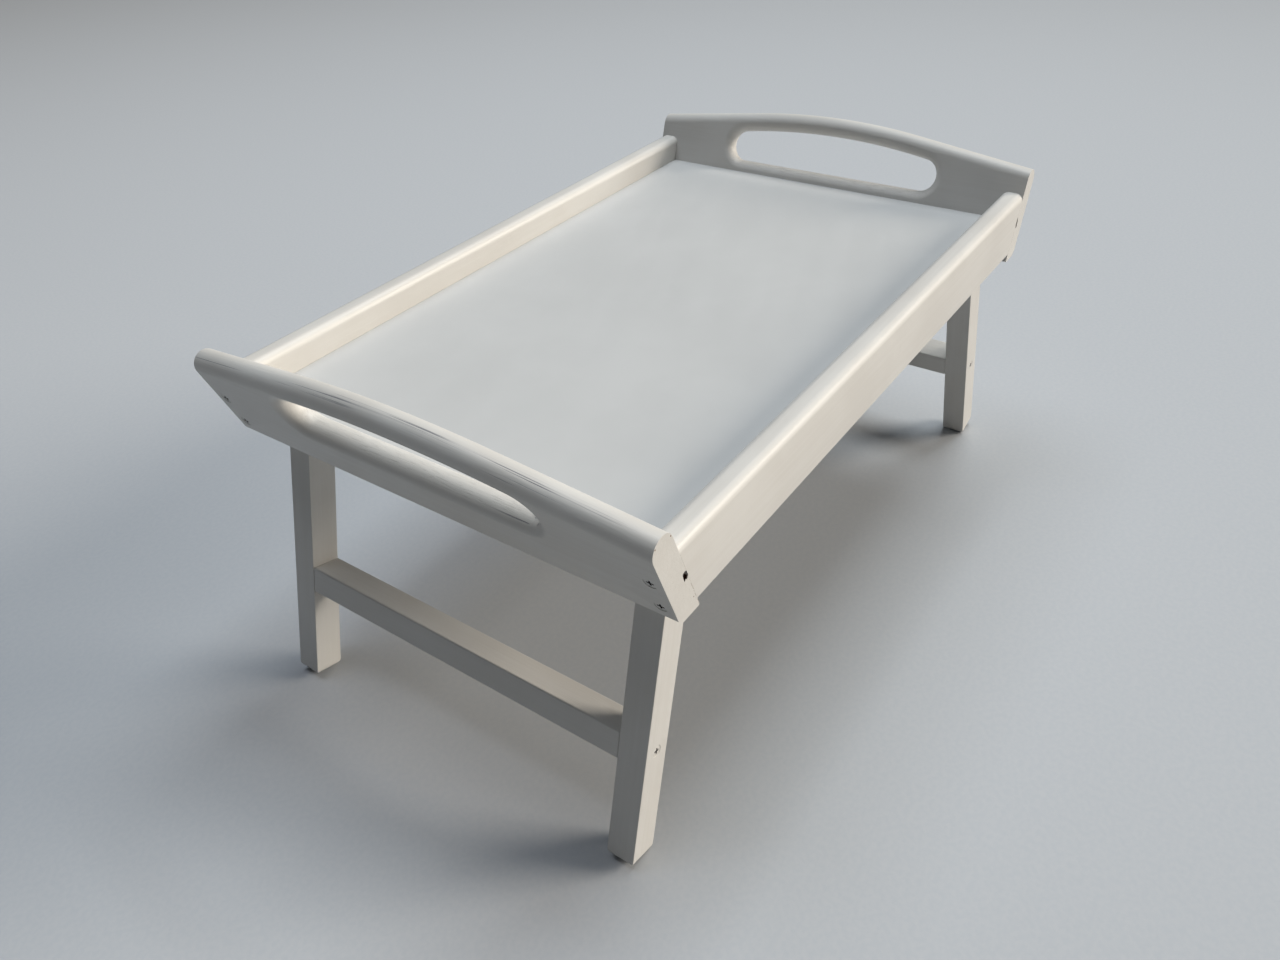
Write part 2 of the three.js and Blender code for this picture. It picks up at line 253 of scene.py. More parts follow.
RAIL_TOP_SLOPE = (RAIL_TOP - DATUM - BOARD * math.sin(CANT)) / math.cos(CANT)
RAMP_ANGLE = math.atan(ARCH_RISE / (HALF_WIDTH - ARCH_HALF_SPAN / 2))
ARCH_RADIUS = ARCH_HALF_SPAN / math.sin(RAMP_ANGLE)


def nose_centre(y):
    """Height up the slope of the middle of the rounded top edge, and the slope of the edge there."""
    if abs(y) > ARCH_HALF_SPAN:
        rise = (HALF_WIDTH - abs(y)) * math.tan(RAMP_ANGLE)
        return CORNER_HEIGHT - NOSE + rise, RAMP_ANGLE
    crown = CORNER_HEIGHT + ARCH_RISE - NOSE
    return crown - ARCH_RADIUS + math.sqrt(ARCH_RADIUS ** 2 - y ** 2), math.asin(abs(y) / ARCH_RADIUS)


def slot_loop():
    """The slot's narrowest outline as (point, outward normal) pairs, across and up the slope."""
    end = SLOT_HALF_LENGTH - SLOT_END_RADIUS
    level = SLOT_BOTTOM + SLOT_END_RADIUS
    rise = SLOT_APEX - level
    radius = (end ** 2 + rise ** 2 - SLOT_END_RADIUS ** 2) / (2 * (rise - SLOT_END_RADIUS))
    centre = level + rise - radius
    join = math.atan2(level - centre, end)
    quarter = math.pi / 2
    loop = []
    steps = 24
    for i in range(steps):
        loop.append((Vector((-end + 2 * end * i / steps, SLOT_BOTTOM)), Vector((0, -1))))
    for middle, size, start, stop, count in (
        ((end, level), SLOT_END_RADIUS, -quarter, join, 20),
        ((0, centre), radius, join, math.pi - join, 40),
        ((-end, level), SLOT_END_RADIUS, math.pi - join, 3 * quarter, 20),
    ):
        for i in range(count):
            angle = start + (stop - start) * i / count
            normal = Vector((math.cos(angle), math.sin(angle)))
            loop.append((Vector(middle) + size * normal, normal))
    return loop


def board_blank(name):
    """The end board in its own frame, without its screw holes."""
    bm = bmesh.new()
    round_steps = 18
    columns = 72
    sine, cosine = math.sin(CANT), math.cos(CANT)

    def slope_point(x, z):
        """(Up the slope, inwards) of a point x inside the outer bottom edge and z above the datum."""
        return -x * sine + z * cosine, x * cosine + z * sine

    bottom_inside = BOTTOM_HALF_LENGTH - inner_face(-BOARD_DROP)
    corner_inside = BOTTOM_HALF_LENGTH - inner_face(INNER_BEVEL - BOARD_DROP)
    underside = [
        slope_point(OUTER_BEVEL, -BOARD_DROP),
        slope_point(bottom_inside - INNER_BEVEL, -BOARD_DROP),
    ]
    inner_bottom = slope_point(corner_inside, INNER_BEVEL - BOARD_DROP)[0]

    # The rounded top edge, column by column.
    nose = []
    for i in range(columns + 1):
        y = HALF_WIDTH * (2 * i / columns - 1)
        centre, slope = nose_centre(y)
        column = []
        for j in range(round_steps + 1):
            turn = math.pi * j / round_steps
            height = centre + NOSE * math.sin(turn) / math.cos(slope)
            column.append(bm.verts.new((y, height, NOSE - NOSE * math.cos(turn))))
        nose.append(column)
    for first, second in zip(nose, nose[1:]):
        for j in range(round_steps):
            bm.faces.new((first[j], first[j + 1], second[j + 1], second[j]))

    # The rounded wall of the slot.
    wall = []
    for point, normal in slot_loop():
        column = []
        for j in range(round_steps + 1):
            turn = math.pi * j / round_steps
            edge = point + normal * SLOT_ROUND * (1 - math.sin(turn))
            flat = NOSE - SLOT_ROUND
            depth = flat * 2 * j / round_steps + SLOT_ROUND * (1 - math.cos(turn))
            column.append(bm.verts.new((edge.x, edge.y, depth)))
        wall.append(column)
    for first, second in zip(wall, wall[1:] + wall[:1]):
        for j in range(round_steps):
            bm.faces.new((first[j], second[j], second[j + 1], first[j + 1]))

    # The bottom edge and the two ends.
    feet = []
    for y in (-HALF_WIDTH, HALF_WIDTH):
        feet.append([
            bm.verts.new((y, 0, 0)),
            *[bm.verts.new((y, height, depth)) for height, depth in underside],
            bm.verts.new((y, inner_bottom, BOARD)),
        ])
    for j in range(3):
        bm.faces.new((feet[0][j], feet[1][j], feet[1][j + 1], feet[0][j + 1]))
    for foot, column in zip(feet, (nose[0], nose[-1])):
        bm.faces.new([*foot, *reversed(column)])

    # The two flat faces, between the bottom, the ends, the top edge and the slot.
    for side, corner in ((0, 0), (round_steps, 3)):
        rim = [feet[0][corner], *[column[side] for column in nose], feet[1][corner]]
        hole = [column[side] for column in wall]
        edges = []
        for loop in (rim, hole):
            for a, b in zip(loop, loop[1:] + loop[:1]):
                edges.append(bm.edges.get((a, b)) or bm.edges.new((a, b)))
        bmesh.ops.triangle_fill(bm, use_beauty=True, edges=edges)
    return mesh_object(name, bm)


def seam_hole(index, side):
    """A ragged hole in the end grain, where the panel's groove runs out through the paint."""
    above_datum = 27 * MM
    from_seam = 1.6 * MM
    half_sizes = Vector((5, 4.1, 2.3)) * MM  # across, up the slope, inwards
    raggedness = 0.7
    centre = BOARD_FRAME.inverted() @ Vector((
        -inner_face(above_datum) - from_seam,
        side * HALF_WIDTH,
        DATUM + above_datum,
    ))
    bm = bmesh.new()
    bmesh.ops.create_icosphere(bm, subdivisions=3, radius=1)
    for vert in bm.verts:
        ragged = 1 + raggedness * noise.noise(vert.co * 1.5 + Vector((index * 7.1, 0, 0)))
        vert.co = ragged * Vector([part * half for part, half in zip(vert.co, half_sizes)])
    tilt = Matrix.Rotation(math.radians(25), 4, "X")
    bmesh.ops.transform(bm, verts=bm.verts, matrix=Matrix.Translation(centre) @ tilt)
    return mesh_object("cutter", bm)


def screw_place(height, side):
    """From a screw's frame, its head top at the origin and its point along -Z, to the board's frame."""
    head = Matrix.Translation((side * (HALF_WIDTH - BOARD / 2), height, SCREW_SINK))
    return head @ Matrix.Rotation(math.pi, 4, "X")


def screw_pocket(head, bore, cone_bottom, reach):
    """The countersunk hole of a screw, in the screw's frame."""
    rim = head + 0.03 * MM
    return [
        (0, SPARE),
        (rim, SPARE),
        (rim, -0.5 * MM),
        (bore, -cone_bottom),
        (bore, -reach),
        (0, -reach),
    ]


def make_end_board(end):
    """A canted end board with its slot, screw holes and the holes at the joints with the rails."""
    turn = ENDS[end][0]
    board = board_blank("board")
    pocket = screw_pocket(BOARD_SCREW["head"], 2.2 * MM, 3.2 * MM, 16 * MM)
    first_seed = {"left": 2, "right": 5}[end]
    cutters = []
    for side in (-1, 1):
        cutters.append(seam_hole(side + first_seed, side))
        for height in BOARD_SCREW_HEIGHTS.values():
            cutters.append(turned("cutter", pocket, screw_place(height, side), 40))
    carve(board, cutters)

    def beside_rail(edge):
        """An edge of the end grain along the joint with a rail, which stays sharp."""
        return all(
            abs(abs(v.co.x) - HALF_WIDTH) < EASED and v.co.z > BOARD - EASED and v.co.y < RAIL_TOP_SLOPE
            for v in edge.verts
        )

    ease_edges(board, stays_sharp=beside_rail)
    board.data.transform(turn @ BOARD_FRAME)
    finish_piece(board, f"end_board_{end}", "tray", board_paint)


# ---------------------------------------------------------------- rails and panel


def make_rail(side_name, turn):
    """The front rail, with its ends cut on the slant; turned for the back."""
    top, inner = RAIL_TOP, -HALF_WIDTH + BOARD
    quarter = math.pi / 2
    bottom = RAIL_BOTTOM_ROUND
    outline = [
        *arc((inner - bottom, RAIL_BOTTOM + bottom), bottom, -quarter, 0, 4),
        *arc((inner - RAIL_ROUND, top - RAIL_ROUND), RAIL_ROUND, 0, quarter, 10),
        *arc((-HALF_WIDTH + RAIL_ROUND, top - RAIL_ROUND), RAIL_ROUND, quarter, 2 * quarter, 10),
        *arc((-HALF_WIDTH + bottom, RAIL_BOTTOM + bottom), bottom, 2 * quarter, 3 * quarter, 4),
    ]

    def place(y, z, share):
        return turn @ Vector((share * (inner_face(z - DATUM) - SEAM), y, z))

    rail = prism("rail", outline, -1, 1, place, stations=40)
    shade_by_angle(rail)
    finish_piece(rail, f"side_rail_{side_name}", "tray", rail_paint)


def make_panel():
    """The tray's floor: thin board with the faint waves of a painted sheet."""
    half_width = HALF_WIDTH - BOARD - SEAM
    bm = bmesh.new()
    across, along = 34, 54
    wave = 0.12 * MM
    grid = {}
    for layer, height in enumerate((panel_low.z, panel_high.z)):
        reach = inner_face(height - DATUM) - SEAM
        for i in range(along + 1):
            for j in range(across + 1):
                x = reach * (2 * i / along - 1)
                y = half_width * (2 * j / across - 1)
                inside = min(1, 6 * (1 - abs(x) / reach), 6 * (1 - abs(y) / half_width))
                lift = wave * inside * noise.noise(Vector((x * 9, y * 9, layer)))
                grid[layer, i, j] = bm.verts.new((x, y, height + lift))
    for layer in (0, 1):
        for i in range(along):
            for j in range(across):
                around = ((i, j), (i + 1, j), (i + 1, j + 1), (i, j + 1))
                bm.faces.new([grid[layer, k, l] for k, l in around])
    border = [(i, 0) for i in range(along)] + [(along, j) for j in range(across)]
    border += [(i, across) for i in range(along, 0, -1)] + [(0, j) for j in range(across, 0, -1)]
    for (i, j), (k, l) in zip(border, border[1:] + border[:1]):
        bm.faces.new((grid[0, i, j], grid[0, k, l], grid[1, k, l], grid[1, i, j]))
    panel = mesh_object("panel", bm)
    shade_by_angle(panel)
    finish_piece(panel, "tray_panel", "tray", panel_paint)


# ---------------------------------------------------------------- leg frames

LEG_FRAME = Matrix.Translation(PIVOT) @ Matrix.Rotation(SPLAY, 4, "Y")
LEG_MIDDLE = LEG_OUTER_SIDE - LEG_WIDTH / 2


def make_leg(end, side):
    """A leg with a rounded top, where the pivot is, and a square foot with eased edges."""
    turn, names = ENDS[end]
    half = LEG_DEPTH / 2
    outline = [
        *arc((0, 0), half, 0, math.pi, 28),
        (-half, -LEG_LENGTH),
        (half, -LEG_LENGTH),
    ]
    leg = prism("leg", outline, -LEG_WIDTH / 2, LEG_WIDTH / 2, lambda x, z, y: Vector((x, y, z)))
    bm = bmesh.new()
    bm.from_mesh(leg.data)
    foot = [edge for edge in bm.edges if all(v.co.z < -LEG_LENGTH + 1e-6 for v in edge.verts)]
    bmesh.ops.bevel(bm, geom=foot, offset=FOOT_ROUND * 0.9, segments=5, profile=0.5, affect="EDGES")
    bm.to_mesh(leg.data)
    bm.free()
    outward = Matrix.Translation((0, side * (LEG_WIDTH / 2 - SCREW_SINK), -STRETCHER_DROP))
    outward = outward @ Matrix.Rotation(-side * math.pi / 2, 4, "X")
    pocket = screw_pocket(STRETCHER_SCREW["head"], 2.1 * MM, 3 * MM, 40 * MM)
    bore = [(0, -LEG_WIDTH), (PIVOT_HOLE, -LEG_WIDTH), (PIVOT_HOLE, LEG_WIDTH), (0, LEG_WIDTH)]
    carve(leg, [
        turned("cutter", pocket, outward, 40),
        turned("cutter", bore, Matrix.Rotation(math.pi / 2, 4, "X"), 40),
    ])
    ease_edges(leg, 1.1 * MM)
    leg.data.transform(turn @ LEG_FRAME @ Matrix.Translation((0, side * LEG_MIDDLE, 0)))
    finish_piece(leg, f"leg_{end}_{names[side]}", f"leg_frame_{end}", leg_paints[end])


def make_stretcher(end):
    """The bar between an end's two legs, bored at both ends for its screws."""
    turn = ENDS[end][0]
    half_length = LEG_OUTER_SIDE - LEG_WIDTH - SEAM
    half = STRETCHER_HEIGHT / 2
    depth = LEG_DEPTH / 2
    outline = [(-depth, -half), (depth, -half), (depth, half), (-depth, half)]
    bar = prism("stretcher", outline, -half_length, half_length, lambda x, z, y: Vector((x, y, z)), 12)
    cutters = []
    bore_radius = 2.1 * MM
    bore_depth = 27 * MM
    bore = [(0, -2 * MM), (bore_radius, -2 * MM), (bore_radius, bore_depth), (0, bore_depth)]
    for side in (-1, 1):
        end_middle = Matrix.Translation((0, side * (half_length + MM), 0))
        inwards = Matrix.Rotation(side * math.pi / 2, 4, "X")
        cutters.append(turned("cutter", bore, end_middle @ inwards, 24))
    carve(bar, cutters)
    ease_edges(bar, 1.2 * MM)
    bar.data.transform(turn @ LEG_FRAME @ Matrix.Translation((0, 0, -STRETCHER_DROP)))
    finish_piece(bar, f"stretcher_{end}", f"leg_frame_{end}", stretcher_paints[end])


# ---------------------------------------------------------------- screws and washers


def cross_cutter(span, depth):
    """A tapered cross recess, with the head's top at the origin."""
    top_width = 1.35 * MM
    bottom_width = 0.8 * MM
    bm = bmesh.new()
    for turn in (0, math.pi / 2):
        made = bmesh.ops.create_cube(bm, size=1)["verts"]
        for vert in made:
            low = vert.co.z < 0
            width = bottom_width if low else top_width
            reach = span / 2 if low else span
            vert.co = Vector((vert.co.x * reach, vert.co.y * width, -depth if low else MM))
        bmesh.ops.transform(bm, verts=made, matrix=Matrix.Rotation(turn, 4, "Z"))
    return mesh_object("cutter", bm)


def make_screw(node, body, place, profile, span, depth, head_material):
    """A turned screw with a cross recess whose inside is near black: bare steel, darkened as painted
    shade of the deep recess.
    """
    screw = turned("screw", profile, LEFT, 36)
    screw.data.materials.append(head_material)
    screw.data.materials.append(recess_steel_and_shade)
    cutter = cross_cutter(span, depth)
    cutter.data.materials.append(recess_steel_and_shade)
    step = screw.modifiers.new("recess", "BOOLEAN")
    step.object = cutter
    step.operation = "DIFFERENCE"
    step.solver = "EXACT"
    step.use_self = True
    step.material_mode = "TRANSFER"
    apply_modifiers(screw)
    bpy.data.objects.remove(cutter)
    shade_by_angle(screw, 30)
    screw.data.transform(place)
    finish_piece(screw, node, body, None)


def countersunk_profile(head, shank, length):
    """A countersunk screw's section, with the head's top at the origin."""
    return [
        (0, -length),
        (0.4 * MM, -length + 0.6 * MM),
        (shank, -length + 6 * MM),
        (shank, -2.9 * MM),
        (head, -0.45 * MM),
        (head, -0.15 * MM),
        (head - 0.2 * MM, 0),
        (0, 0),
    ]


def make_fasteners(end):
    """All screws and washers of one end of the table."""
    turn, names = ENDS[end]
    body = f"leg_frame_{end}"
    for side in (-1, 1):
        for level, height in BOARD_SCREW_HEIGHTS.items():
            make_screw(
                f"board_screw_{end}_{names[side]}_{level}", "tray",
                turn @ BOARD_FRAME @ screw_place(height, side),
                countersunk_profile(**BOARD_SCREW),
                5.6 * MM, 2.4 * MM, screw_paint,
            )
        outward = Matrix.Translation((0, side * (LEG_OUTER_SIDE - SCREW_SINK), -STRETCHER_DROP))
        make_screw(
            f"stretcher_screw_{end}_{names[side]}", body,
            turn @ LEG_FRAME @ outward @ Matrix.Rotation(-side * math.pi / 2, 4, "X"),
            countersunk_profile(**STRETCHER_SCREW),
            5.2 * MM, 2.3 * MM, screw_paint,
        )
        make_pivot(end, side, turn, names[side])


def make_pivot(end, side, turn, side_name):
    """Pivot screw and its two washers, seen from the middle of the table."""
    inward = Matrix.Translation(PIVOT) @ Matrix.Rotation(side * math.pi / 2, 4, "X")
    leg_inner = LEG_OUTER_SIDE - LEG_WIDTH

    def at(distance):
        """A frame facing the middle of the table, that far from the middle."""
        return turn @ inward @ Matrix.Translation((0, 0, -distance))

    def ring(thickness, radius):
        """The section of a flat washer, its edges eased."""
        hole = PIVOT_HOLE
        ease = 0.2 * MM
        return [
            (hole, -thickness + ease),
            (hole + ease, -thickness),
            (radius - ease, -thickness),
            (radius, -thickness + ease),
            (radius, -ease),
            (radius - ease, 0),
            (hole + ease, 0),
            (hole, -ease),
        ]

    play = 0.15 * MM
    washer_top = leg_inner - HEAD_WASHER["thickness"] - play
    washer = turned("washer", ring(**HEAD_WASHER), at(washer_top), 40, closed=True)
    shade_by_angle(washer)
    finish_piece(washer, f"pivot_washer_{end}_{side_name}", "tray", zinc)
    spacer = turned("spacer", ring(**SPACER_WASHER), at(LEG_OUTER_SIDE + 2 * play), 40, closed=True)
    shade_by_angle(spacer)
    finish_piece(spacer, f"pivot_spacer_{end}_{side_name}", "tray", zinc)
    rim = 0.9 * MM
    height = PIVOT_HEAD_HEIGHT
    turns = [math.pi / 2 * i / 8 for i in range(8)]
    profile = [
        (0, -PIVOT_REACH),
        (0.6 * MM, -PIVOT_REACH + 0.8 * MM),
        (PIVOT_SHANK, -PIVOT_REACH + 5 * MM),
        (PIVOT_SHANK, 0),
        (PIVOT_HEAD, 0),
        *[(PIVOT_HEAD * math.cos(a), rim + (height - rim) * math.sin(a)) for a in turns],
        (0, height),
    ]
    make_screw(
        f"pivot_screw_{end}_{side_name}", "tray",
        at(washer_top - play - height),
        [(radius, z - height) for radius, z in profile],
        6 * MM, 2.2 * MM, zinc,
    )


# ---------------------------------------------------------------- materials

ALONG_X = (0, 0, 0)
ALONG_Y = (0, 0, math.pi / 2)


class Graph:
    """A material, with short ways to add shader nodes."""

    def __init__(self, name):
        self.material = bpy.data.materials.new(name)
        self.material.use_nodes = True
        self.tree = self.material.node_tree
        self.shader = self.tree.nodes["Principled BSDF"]
        self.place = self.add("TexCoord").outputs["Object"]

    def add(self, kind, inputs=(), **settings):
        """A new shader node, with its settings made and its inputs set or linked."""
        node = self.tree.nodes.new("ShaderNode" + kind)
        for name, value in settings.items():
            setattr(node, name, value)
        for socket, value in dict(inputs).items():
            self.set(node.inputs[socket], value)
        return node

    def set(self, socket, value):
        """Links an output to the socket, or gives it a constant."""
        if isinstance(value, bpy.types.NodeSocket):
            self.tree.links.new(value, socket)
        else:
            socket.default_value = value

    def math(self, operation, *values):
        """A sum, product or other operation on numbers."""
        node = self.add("Math", enumerate(values), operation=operation)
        return node.outputs[0]

    def ramp(self, value, low, high, start=0.0, end=1.0):
        """value between low and high, mapped smoothly to between start and end."""
        inputs = {"Value": value, "From Min": low, "From Max": high, "To Min": start, "To Max": end}
        return self.add("MapRange", inputs, interpolation_type="SMOOTHSTEP").outputs["Result"]

    def mix(self, share, first, second):
        """A colour between two, by share."""
        node = self.add("Mix", data_type="RGBA")
        colours = [socket for socket in node.inputs if socket.type == "RGBA"]
        self.set(node.inputs[0], share)
        self.set(colours[0], first)
        self.set(colours[1], second)
        return next(socket for socket in node.outputs if socket.type == "RGBA")

    def turned_place(self, rotation):
        """The place in a frame whose X runs along the grain."""
        return self.add("VectorRotate", {"Vector": self.place, "Rotation": rotation},
                        rotation_type="EULER_XYZ", invert=True).outputs["Vector"]

    def stretched(self, place, along, across):
        """The place scaled for noise that runs along the grain."""
        scale = self.add("VectorMath", {0: place, 1: (along, across, across)}, operation="MULTIPLY")
        return scale.outputs["Vector"]

    def noise(self, place, scale=1.0, detail=3.0, roughness=0.5, distortion=0.0):
        """Smooth noise, mostly between 0.2 and 0.8."""
        inputs = {"Vector": place, "Scale": scale, "Detail": detail, "Roughness": roughness,
                  "Distortion": distortion}
        return self.add("TexNoise", inputs).outputs["Fac"]


def srgb(red, green, blue):
    """Linear colour of an 8-bit display colour."""
    def linear(value):
        value /= 255
        return value / 12.92 if value <= 0.04045 else ((value + 0.055) / 1.055) ** 2.4
    return (linear(red), linear(green), linear(blue), 1)


BARE_WOOD = srgb(118, 92, 70)
# Bare wood of the hole's inside, darkened as painted shade of the hole's depth.
HOLE_WOOD_AND_SHADE = srgb(66, 38, 28)
WORN = srgb(112, 112, 118)
PAINT = srgb(206, 204, 200)
PAINT_DEEP = srgb(200, 197, 192)
PANEL_PAINT = srgb(192, 193, 193)
PANEL_PAINT_DEEP = srgb(188, 189, 189)


def paint(name, grain, details=lambda g, look: look, grain_depth=1.0):
    """Satin paint brushed on planed wood, with the grain showing through as faint ridges.

    details adds one piece's own marks to the look: colour, height and roughness.
    """
    g = Graph(name)
    lengthwise = g.turned_place(grain)
    fibres = g.noise(g.stretched(lengthwise, 9, 300), detail=5, roughness=0.6, distortion=0.4)
    pores = g.noise(g.stretched(lengthwise, 50, 1700), detail=2)
    brush = g.noise(g.stretched(lengthwise, 6, 850), detail=4, roughness=0.65)
    cloud = g.noise(g.place, 14, detail=3)
    peel = g.noise(g.place, 700, detail=1)
    dents = g.ramp(g.noise(g.place, 45, detail=1), 0.72, 0.82)

    tone = g.math("ADD", g.math("MULTIPLY", fibres, 0.35), g.math("MULTIPLY", cloud, 0.65))
    height = g.math("MULTIPLY", g.ramp(fibres, 0.42, 0.62), 0.40 * grain_depth)
    height = g.math("ADD", height, g.math("MULTIPLY", brush, 0.45))
    height = g.math("ADD", height, g.math("MULTIPLY", pores, 0.16 * grain_depth))
    height = g.math("ADD", height, g.math("MULTIPLY", peel, 0.25))
    height = g.math("SUBTRACT", height, g.math("MULTIPLY", dents, 1.2))
    sheen = g.math("ADD", g.math("MULTIPLY", cloud, 0.5), g.math("MULTIPLY", brush, 0.5))
    look = {
        "colour": g.mix(g.ramp(tone, 0.36, 0.66), PAINT_DEEP, PAINT),
        "height": height,
        "rough": g.ramp(sheen, 0.3, 0.7, 0.38, 0.52),
        "lengthwise": lengthwise,
    }
    look = details(g, look)
    bump = g.add("Bump", {"Strength": 0.5, "Distance": 0.15 * MM, "Height": look["height"]})
    g.set(g.shader.inputs["Base Color"], look["colour"])
    g.set(g.shader.inputs["Roughness"], look["rough"])
    g.set(g.shader.inputs["Normal"], bump.outputs["Normal"])
    g.shader.inputs["Specular IOR Level"].default_value = 0.45
    return g.material


def mark(g, look, mask, colour, depth, roughness):
    """Changes colour, height and roughness where the mask is 1."""
    return {
        "colour": g.mix(mask, look["colour"], colour),
        "height": g.math("SUBTRACT", look["height"], g.math("MULTIPLY", mask, depth)),
        "rough": g.math("ADD", look["rough"], g.math("MULTIPLY", mask, roughness)),
        "lengthwise": look["lengthwise"],
    }


def chip(g, place, radius):
    """A small ragged patch where the paint has come off."""
    away = g.add("VectorMath", {0: g.place, 1: place}, operation="DISTANCE").outputs["Value"]
    ragged = g.math("MULTIPLY", g.noise(g.place, 900, detail=2), radius * 1.6)
    return g.ramp(g.math("ADD", away, ragged), radius * 1.55, radius * 1.85, 1, 0)


def board_place(g):
    """Height up the slope, depth from the outer face and distance from the middle, for both boards."""
    parts = g.add("SeparateXYZ", {"Vector": g.place}).outputs
    out = g.math("SUBTRACT", g.math("ABSOLUTE", parts["X"]), BOTTOM_HALF_LENGTH)
    up = g.math("SUBTRACT", parts["Z"], DATUM)
    sine, cosine = math.sin(CANT), math.cos(CANT)
    slope = g.math("ADD", g.math("MULTIPLY", out, sine), g.math("MULTIPLY", up, cosine))
    depth = g.math("SUBTRACT", g.math("MULTIPLY", up, sine), g.math("MULTIPLY", out, cosine))
    return slope, depth, g.math("ABSOLUTE", parts["Y"])


def product(g, *masks):
    """Where all the masks are 1."""
    result = masks[0]
    for mask in masks[1:]:
        result = g.math("MULTIPLY", result, mask)
    return result


def board_details(g, look):
    """Marks of the end boards: worn grain on the handle, end grain, the joint with the rail, bare wood
    with painted shade in the hole, chips.
    """
    slope, depth, across = board_place(g)
    place = g.add("SeparateXYZ", {"Vector": g.place}).outputs
    normal = g.add("SeparateXYZ", {"Vector": g.add("TexCoord").outputs["Normal"]}).outputs
    outward = g.math("MULTIPLY", normal["X"], g.math("SIGN", place["X"]))

    # Long dark lines and opened grain where hands wear the handle and the slot's lower lip.
    handled = product(g, g.ramp(normal["Z"], 0.25, 0.55), g.ramp(outward, 0.05, 0.3))
    # The lines on the handle follow its arch; those below it run level.
    middle = g.math("MINIMUM", across, ARCH_HALF_SPAN)
    rise = g.math("ADD", g.math("DIVIDE", g.math("POWER", middle, 2), -2 * ARCH_RADIUS),
                  g.math("MULTIPLY", g.math("SUBTRACT", across, middle), -math.tan(RAMP_ANGLE)))
    above_slot = g.ramp(slope, 52 * MM, 54 * MM)
    follow = g.math("SUBTRACT", slope, g.math("MULTIPLY", rise, above_slot))
    along_edge = g.add("CombineXYZ", {
        "X": g.math("MULTIPLY", place["Y"], 6),
        "Y": g.math("MULTIPLY", follow, 1000),
        "Z": g.math("MULTIPLY", depth, 1000),
    }).outputs["Vector"]
    lines = g.ramp(g.noise(along_edge, detail=2, roughness=0.6), 0.61, 0.67)
    areas = g.ramp(g.noise(g.stretched(look["lengthwise"], 7, 40), detail=2), 0.44, 0.56)
    look = mark(g, look, product(g, handled, lines, areas), WORN, 1.0, 0.2)
    lip = product(g, g.ramp(normal["Z"], 0.4, 0.7), g.ramp(slope, 50 * MM, 54 * MM, 1, 0),
                  g.ramp(across, SLOT_HALF_LENGTH, SLOT_HALF_LENGTH + 8 * MM, 1, 0))
    pitted = g.noise(g.stretched(look["lengthwise"], 90, 1300), detail=3, roughness=0.7)
    opened = g.ramp(pitted, 0.50, 0.68)
    look = mark(g, look, product(g, lip, opened), srgb(192, 189, 184), 1.3, 0.15)

    # Fine speckle of filled end grain.
    end_face = g.ramp(across, HALF_WIDTH - 0.35 * MM, HALF_WIDTH - 0.15 * MM)
    speckle = g.ramp(g.noise(g.place, 2600, detail=2), 0.55, 0.7)
    look = mark(g, look, product(g, end_face, speckle), srgb(198, 195, 190), 0.15, 0.05)

    # Broken paint along the joint with the rail, below the hole.
    jag = g.math("MULTIPLY", g.math("SUBTRACT", g.noise(g.place, 420, detail=3), 0.5), 1.5 * MM)
    line = g.math("ABSOLUTE", g.math("ADD", g.math("SUBTRACT", depth, BOARD - 0.35 * MM), jag))
    crack = product(g, g.ramp(line, 0.04 * MM, 0.14 * MM, 1, 0), g.ramp(slope, 16 * MM, 18 * MM, 1, 0),
                    end_face, g.ramp(g.noise(g.place, 260, detail=1), 0.42, 0.52))
    look = mark(g, look, crack, BARE_WOOD, 1.4, 0.3)

    # Bare wood inside the hole, made darker than the chips' bare wood as painted shade of the deep hole.
    inside = product(
        g,
        g.ramp(across, HALF_WIDTH - 9 * MM, HALF_WIDTH - 8 * MM),
        g.ramp(across, HALF_WIDTH - 0.7 * MM, HALF_WIDTH - 0.4 * MM, 1, 0),
        g.ramp(depth, 11 * MM, 11.5 * MM),
        g.ramp(depth, BOARD - 0.3 * MM, BOARD - 0.2 * MM, 1, 0),
        g.ramp(slope, 12 * MM, 13 * MM),
        g.ramp(slope, 32 * MM, 33 * MM, 1, 0),
    )
    look = mark(g, look, inside, HOLE_WOOD_AND_SHADE, 0.5, 0.4)

    chips = None
    for place, radius in board_chips:
        here = chip(g, place, radius)
        chips = here if chips is None else g.math("MAXIMUM", chips, here)
    return mark(g, look, chips, BARE_WOOD, 1.6, 0.3)


def smooth_paint(name):
    """Rolled paint on thin board: almost smooth, with faint marks from use."""
    g = Graph(name)
    cloud = g.noise(g.place, 7, detail=4, roughness=0.6)
    roller = g.noise(g.place, 420, detail=2)
    wipes = g.noise(g.stretched(g.turned_place((0, 0, 0.35)), 9, 55), detail=4, roughness=0.6)
    scratches = g.ramp(g.noise(g.stretched(g.turned_place((0, 0, 0.8)), 14, 1500), detail=2), 0.68, 0.74)
    colour = g.mix(g.ramp(cloud, 0.35, 0.65), PANEL_PAINT_DEEP, PANEL_PAINT)
    colour = g.mix(g.math("MULTIPLY", scratches, 0.12), colour, srgb(188, 188, 186))
    g.set(g.shader.inputs["Base Color"], colour)
    g.set(g.shader.inputs["Roughness"], g.ramp(wipes, 0.3, 0.7, 0.44, 0.54))
    g.shader.inputs["Specular IOR Level"].default_value = 0.4
    height = g.math("SUBTRACT", g.math("MULTIPLY", roller, 0.3), g.math("MULTIPLY", scratches, 0.3))
    bump = g.add("Bump", {"Strength": 0.4, "Distance": 0.12 * MM, "Height": height})
    g.set(g.shader.inputs["Normal"], bump.outputs["Normal"])
    return g.material


